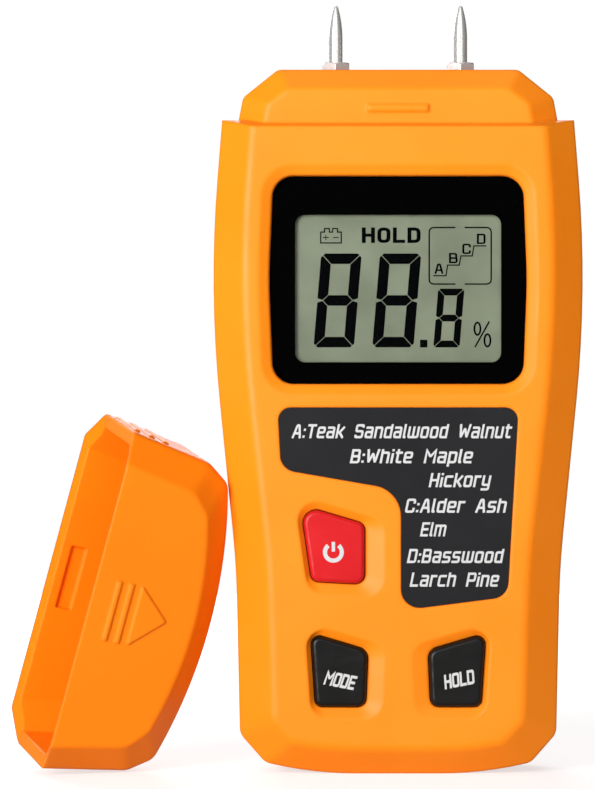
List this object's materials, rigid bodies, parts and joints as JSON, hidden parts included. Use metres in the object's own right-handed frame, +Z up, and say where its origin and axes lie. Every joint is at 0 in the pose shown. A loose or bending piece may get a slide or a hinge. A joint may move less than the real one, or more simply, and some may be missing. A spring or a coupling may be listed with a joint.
{
  "type": "moisture meter",
  "caption": "Hand-held pin moisture meter with digital display, press keys, battery door and a push-on cap for its needle electrodes.",
  "frame": {"origin": "middle of the flat foot that the meter stands on", "axes": "+Z up along the meter towards the needle tips, -Y out of the display, +X to the right as seen from the front"},
  "size_m": [0.1075, 0.0384, 0.1432],
  "materials": {
    "housing": "orange moulded ABS with a fine satin texture",
    "lens": "clear glossy acrylic",
    "black_print": "black print behind the lens",
    "lcd": "grey-green liquid crystal display",
    "white_plastic": "white moulded frame",
    "black_rubber": "striped conductive rubber",
    "label": "matt black label with white legend",
    "red_key": "red glossy key",
    "black_key": "black satin key",
    "switch_black": "black plastic",
    "needle_steel": "polished hardened steel",
    "collar_steel": "nickel plated",
    "brass": "turned brass",
    "tinned": "tinned metal",
    "lead_white": "insulated lead",
    "board_green": "green solder mask",
    "screw_steel": "zinc plated",
    "chip_black": "moulded epoxy",
    "capacitor_blue": "sleeved can",
    "component_tan": "ceramic",
    "battery_wrap": "plain printed wrap",
    "foam": "closed cell foam",
    "lead_red": "insulated lead",
    "lead_black": "insulated lead"
  },
  "bodies": {
    "housing": {"front_cover": "housing", "rear_cover": "housing", "display_lens": "lens", "display_mask": "black_print", "display_glass": "lcd", "display_holder": "white_plastic", "contact_strips": "black_rubber", "chart_label": "label", "switch_bodies": "switch_black", "needle_left": "needle_steel", "needle_right": "needle_steel", "hex_collars": "collar_steel", "electrode_sockets": "brass", "ring_terminals": "tinned", "terminal_nuts": "collar_steel", "electrode_leads": "lead_white", "circuit_board": "board_green", "board_screws": "screw_steel", "processor": "chip_black", "amplifier_chip": "chip_black", "crystal_can": "tinned", "filter_capacitor": "capacitor_blue", "small_components": "component_tan", "battery_block": "battery_wrap", "battery_terminals": "tinned", "battery_snap": "switch_black", "battery_pad": "foam", "battery_lead_red": "lead_red", "battery_lead_black": "lead_black", "housing_screws": "screw_steel"},
    "power_button": {"power_key": "red_key", "power_plunger": "switch_black"},
    "mode_button": {"mode_key": "black_key", "mode_plunger": "switch_black"},
    "hold_button": {"hold_key": "black_key", "hold_plunger": "switch_black"},
    "door": {"battery_door": "housing"},
    "cap": {"protective_cap": "housing"}
  },
  "joints": [
    {"name": "power_press", "type": "slide", "parent": "housing", "child": "power_button", "axis": [0, 1, 0], "range_m": [0, 0.00075], "stiffness_N_per_m": 2000},
    {"name": "mode_press", "type": "slide", "parent": "housing", "child": "mode_button", "axis": [0, 1, 0], "range_m": [0, 0.00075], "stiffness_N_per_m": 2000},
    {"name": "hold_press", "type": "slide", "parent": "housing", "child": "hold_button", "axis": [0, 1, 0], "range_m": [0, 0.00075], "stiffness_N_per_m": 2000},
    {"name": "door_slide", "type": "slide", "parent": "housing", "child": "door", "axis": [0, 0, -1], "range_m": [0, 0.066]},
    {"name": "cap_away", "type": "slide", "parent": "housing", "child": "cap", "axis": [-1, 0, 0], "range_m": [0, 0.06]}
  ]
}
